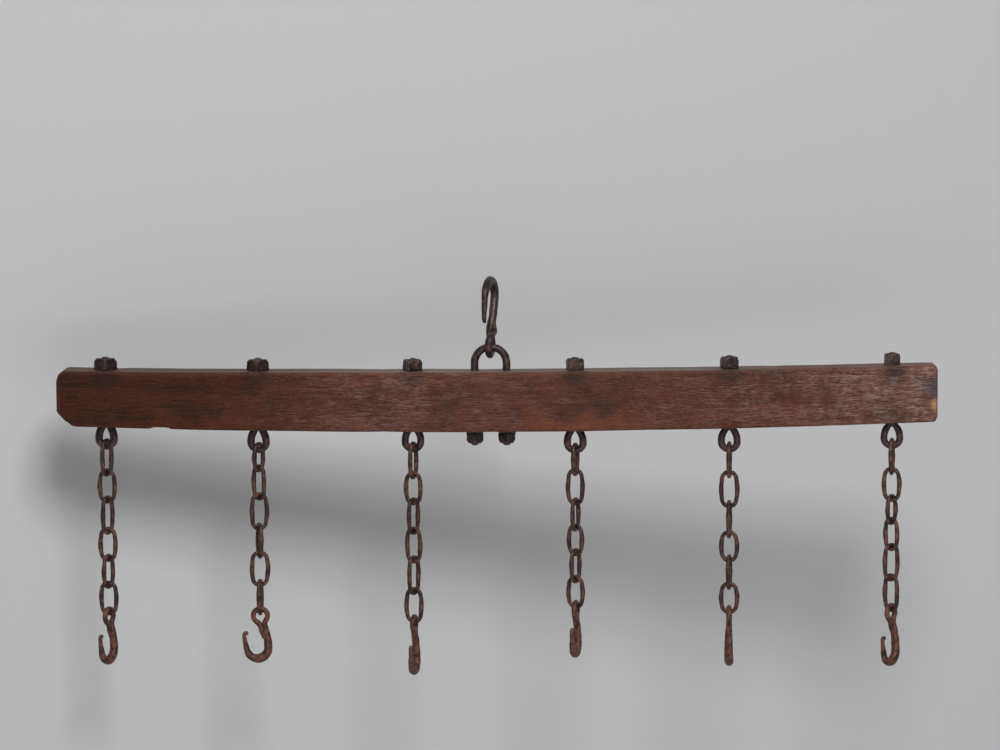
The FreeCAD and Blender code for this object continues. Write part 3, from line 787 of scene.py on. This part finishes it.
def square_nut(bm, across, height, turn, place, point_down=False, seed=0.0):
    """A worn square nut: a block with rounded edges whose outer corners were turned off at one end."""
    block = bmesh.new()
    bmesh.ops.create_cube(block, size=1)
    bmesh.ops.subdivide_edges(block, edges=block.edges[:], cuts=17, use_grid_fill=True)
    half = Vector((across / 2, across / 2, height / 2))
    edge, corner = NUT_EDGE, across / math.sqrt(2)
    for v in block.verts:
        p = Vector((v.co.x * across, v.co.y * across, v.co.z * height))
        inner = Vector([min(max(c, edge - h), h - edge) for c, h in zip(p, half)])
        off = p - inner
        if off.length > edge:
            p = inner + off * edge / off.length
        turned_off = max(0, p.z + half.z - height * NUT_CORNER_START) * NUT_CORNER_SLOPE
        limit = corner - NUT_CORNER_WEAR - turned_off
        out = math.hypot(p.x, p.y)
        if out > limit:
            p.x, p.y = p.x * limit / out, p.y * limit / out
        p.x += NUT_OUT_OF_TRUE * noise.noise(Vector((p.z / 5, seed, 1)))
        p.y += NUT_OUT_OF_TRUE * noise.noise(Vector((p.z / 5, seed, 9)))
        v.co = p * mm
    hammered(block, 0.55, 5, seed, proud=0.7)
    flip = Matrix.Rotation(math.pi, 4, "X") if point_down else Matrix.Identity(4)
    lift = Matrix.Translation((0, 0, (-height if point_down else height) / 2 * mm))
    turned = Matrix.Rotation(math.radians(turn), 4, "Z")
    bmesh.ops.transform(block, matrix=Matrix.Translation(place) @ turned @ lift @ flip, verts=block.verts)
    mesh = bpy.data.meshes.new("nut")
    block.to_mesh(mesh)
    block.free()
    bm.from_mesh(mesh)
    bpy.data.meshes.remove(mesh)


bm = bmesh.new()
nut_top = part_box("u_bolt_nuts")[1].z
for x, turn in zip((-U_SPAN / 2, U_SPAN / 2), U_NUT_TURNS):
    square_nut(bm, U_NUT_ACROSS, U_NUT_HEIGHT, turn, Vector((x * mm, 0, nut_top)), True, seed=x)
finished(bm, "u_bolt_square_nuts", "beam", "hanger_iron", hanger_iron, "u_bolt_nuts")

# ---------------------------------------------------------------------------------------------------------
# Eye bolts and their nuts
# Six forged bolts hang their eyes below the beam. Each eye is thick at its sides and worn thin at the bottom,
# and its strands close to a point under the wood. Square nuts hold the bolts on top.

EYE_BAR = 7.8
EYE_WIDTH = 27
SHANK = 10
NUT_ACROSS = 19
NUT_HEIGHT = 14.5
NUT_EXTRA = (2.2, 1.8, 1.0, 0.8, 0.4, -0.5)
NUT_TURNS = (45, 40, 22, 12, 15, 3)
SEAT_DEPTH = 0.6 * mm
EYE_SIDES = (10.4, 10.0, 9.6, 9.6, 9.4, 9.2)
EYE_WORN = 0.8  # how far the eye's bottom hangs below its circle
SHANK_START = 14  # above the eye's centre
SHANK_PROUD = 1

bolt_iron = forged_iron("bolt_iron", (0.052, 0.036, 0.034), (0.075, 0.034, 0.027), 0.42, 0.5)
eye_radius = (EYE_WIDTH - EYE_BAR) / 2
for number, (x, side) in enumerate(zip(bolt_lines, EYE_SIDES), 1):
    hinge = hinge_of[f"chain_{number}_link_1"]
    centre = hinge["pos_m"][2] / mm + eye_radius
    bm = bmesh.new()
    draw_bar(bm, Vector((0, 0, -eye_radius - EYE_WORN)), 0, [
        (eye_radius * math.pi / 2 + 0.5, 90), (4, 6), (10, 30), (8, -6),
    ], widths=((0, 8.6), (0.12, 8.6), (0.34, side), (0.7, side), (1, side * 0.8)),
        depths=((0, 7.4), (0.4, 8.4), (0.8, 8.6), (1, 8)))
    mirrored(bm)
    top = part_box(f"eye_bolt_{number}")[1].z / mm - centre
    shank_length = top - SHANK_START + SHANK_PROUD - SHANK / 2 * END_DOME
    draw_bar(bm, Vector((0, 0, SHANK_START)), 90, [(shank_length, 0)],
             widths=((0, 9), (0.1, SHANK), (1, SHANK)), dome=END_DOME)
    closed_up(bm)
    hammered(bm, 0.3, 6, 10.0 + number, proud=0.3)
    in_place(bm, hinge["axis"], Vector((x, 0, centre * mm)))
    finished(bm, f"eye_bolt_bar_{number}", "beam", "bolt_iron", bolt_iron, f"eye_bolt_{number}")

bm = bmesh.new()
for x, turn, extra in zip(bolt_lines, NUT_TURNS, NUT_EXTRA):
    seat = beam_top(x) - SEAT_DEPTH
    square_nut(bm, NUT_ACROSS + extra, NUT_HEIGHT, turn, Vector((x, 0, seat)), seed=x * 40)
finished(bm, "eye_bolt_square_nuts", "beam", "bolt_iron", bolt_iron, "eye_bolt_nuts")

# ---------------------------------------------------------------------------------------------------------
# Chains
# Each link is round wire forged to an oval and welded shut. No two are quite alike: their sides bow a little
# differently, the wire swells at the weld, and rust has roughened them.

WIRE = 5.6
LINK_WIDTH = 25.8
SIDE_BOW = 1.1
WIRE_SIDES = 20
SIDE_SWELL = 0.12  # shares of the wire's thickness
WELD_SWELL = 0.09
WELD_REACH = 5
SIDE_LEAN = 0.5
SIDE_SWAY = 0.45
SIDE_WARP = 0.5

chain_iron = forged_iron("chain_iron", (0.056, 0.036, 0.030), (0.130, 0.048, 0.029), 0.42, 0.5)


def turn_round(bm, edges, centre, degrees, steps):
    """Spins a ring of edges on about a centre in the XZ plane, and returns its new edges."""
    verts = list({v for e in edges for v in e.verts})
    out = bmesh.ops.spin(bm, geom=verts + edges, cent=Vector(centre) * mm, axis=(0, -1, 0),
                         angle=math.radians(degrees), steps=steps, use_duplicate=False)["geom_last"]
    return [g for g in out if isinstance(g, bmesh.types.BMEdge)]


def forged_link(length, seed):
    """A ring of wire spun round the bottom crown, up one long side, over the top crown and down the other."""
    half_height, half_width = (length - WIRE) / 2, (LINK_WIDTH - WIRE) / 2
    crown = half_width - SIDE_BOW
    crown_centre = half_height - crown
    side = (crown_centre ** 2 + half_width ** 2 - crown ** 2) / (2 * (half_width - crown))
    side_centre = side - half_width
    meet = math.degrees(math.atan2(crown_centre, side_centre))
    bm = bmesh.new()
    upright = Matrix.Translation(Vector((0, 0, -half_height)) * mm) @ Matrix.Rotation(math.pi / 2, 4, "Y")
    bmesh.ops.create_circle(bm, segments=WIRE_SIDES, radius=WIRE / 2 * mm, matrix=upright)
    edges = turn_round(bm, bm.edges[:], (0, 0, -crown_centre), 90 - meet, 10)
    edges = turn_round(bm, edges, (-side_centre, 0, 0), 2 * meet, 24)
    edges = turn_round(bm, edges, (0, 0, crown_centre), 180 - 2 * meet, 20)
    edges = turn_round(bm, edges, (side_centre, 0, 0), 2 * meet, 24)
    turn_round(bm, edges, (0, 0, -crown_centre), 90 - meet, 10)
    closed_up(bm)

    weld_side = 1 if noise.noise(Vector((seed, 0.5, 0.5))) > 0 else -1
    weld_height = half_height * 0.5 * noise.noise(Vector((seed, 4.5, 0.5)))
    lean = SIDE_LEAN * noise.noise(Vector((seed, 8.5, 0.5)))
    for v in bm.verts:
        x, y, z = v.co / mm
        on_side = max(0.0, 1 - (z / crown_centre) ** 2) if crown_centre else 0
        weld = math.exp(-((z - weld_height) / WELD_REACH) ** 2) * (x * weld_side > 0)
        swell = on_side * SIDE_SWELL + weld * WELD_SWELL
        wire_x = math.copysign(half_width, x)
        if on_side:
            x, y = wire_x + (x - wire_x) * (1 + swell), y * (1 + swell)
        x += on_side * (lean + SIDE_SWAY * noise.noise(Vector((seed, z / 14, 1 if x > 0 else 5))))
        y += on_side * SIDE_WARP * noise.noise(Vector((seed, z / 16, 9 if x > 0 else 3)))
        v.co = Vector((x, y, z)) * mm
    hammered(bm, 0.22, 5, seed, proud=0.25)
    return bm


for number in range(1, 7):
    for k in range(1, 7):
        body = f"chain_{number}_link_{k}"
        below = f"chain_{number}_link_{k + 1}" if k < 6 else f"chain_{number}_hook"
        low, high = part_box(body)
        bm = forged_link((high.z - low.z) / mm, number * 7.3 + k * 1.9)
        in_place(bm, hinge_of[below]["axis"], Vector((bolt_lines[number - 1], 0, (low.z + high.z) / 2)))
        finished(bm, f"forged_link_{number}_{k}", body, "chain_iron", chain_iron, body)

# ---------------------------------------------------------------------------------------------------------
# Hooks at the chains' ends
# Each is one tapered bar. Its thin end goes round the eye and is lapped down the inner side of the shaft,
# with a groove left open above the weld, and the other end is curled in at the tip.

HOOK_EYE_WIDTH = 24.5
HOOK_EYE_BAR = 6.4
HOOK_BAR = 12
HOOK_BEND = 13.6
HOOK_LEAN = 9
HOOK_BEND_TURN = 167
HOOK_SHOULDER = 12
HOOK_LIP = ((19, -4), (4.8, -110))
HOOK_EYE_TURN = 132  # from the eye's crest round to the shaft
HOOK_LAP_TURN = 150
HOOK_NECK_RUN = 5
HOOK_NECK_LEAN = 2
HOOK_NECK_DROP = 10.9  # of the shaft's start below the eye's centre

hook_iron = forged_iron("hook_iron", (0.064, 0.038, 0.031), (0.140, 0.050, 0.030), 0.52, 0.45)
hook_eye_radius = (HOOK_EYE_WIDTH - HOOK_EYE_BAR) / 2


def forged_hook(height, seed):
    bm = bmesh.new()
    crest = Vector((0, 0, hook_eye_radius))
    bend_centre = HOOK_EYE_WIDTH / 2 - height + HOOK_BAR / 2 + HOOK_BEND
    shaft = (-HOOK_NECK_DROP - HOOK_SHOULDER - bend_centre) / math.cos(math.radians(HOOK_LEAN))
    neck_turn = HOOK_EYE_TURN - 90 + HOOK_LEAN + HOOK_NECK_LEAN
    draw_bar(bm, crest, 0, [
        (hook_eye_radius * math.radians(HOOK_EYE_TURN), -HOOK_EYE_TURN),
        (HOOK_NECK_RUN, neck_turn),
        (shaft, -HOOK_NECK_LEAN),
        (HOOK_SHOULDER, -HOOK_LEAN),
        (math.radians(HOOK_BEND_TURN) * HOOK_BEND, -HOOK_BEND_TURN),
        *HOOK_LIP,
    ], widths=((0, 6.6), (0.17, 7.0), (0.22, 7.2), (0.32, 9.6), (0.42, 10.8), (0.62, 12.0), (0.72, 10.0),
               (0.82, 8.0), (0.9, 6.2), (0.96, 5.2), (1, 6.0)))
    draw_bar(bm, crest, 180, [
        (hook_eye_radius * math.radians(HOOK_LAP_TURN), HOOK_LAP_TURN),
        (8, -45),
        (14, -5),
    ], widths=((0, 6.6), (0.4, 7.0), (0.6, 7.2), (0.8, 7.0), (0.9, 6.0), (1, 3.6)),
        depths=((0, 6.6), (0.4, 7.0), (0.7, 8.2), (0.85, 7.6), (1, 4.6)))
    closed_up(bm)
    hammered(bm, 0.3, 6, seed)
    return bm


for number in range(1, 7):
    body = f"chain_{number}_hook"
    low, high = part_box(body)
    line = bolt_lines[number - 1]
    knee = max((v.co for v in frame["nodes"][body].data.vertices), key=lambda p: math.hypot(p.x - line, p.y))
    bm = forged_hook((high.z - low.z) / mm, 20.0 + number * 2.7)
    in_place(bm, (line - knee.x, -knee.y), Vector((line, 0, high.z - HOOK_EYE_WIDTH / 2 * mm)))
    finished(bm, f"forged_hook_{number}", body, "hook_iron", hook_iron, body)
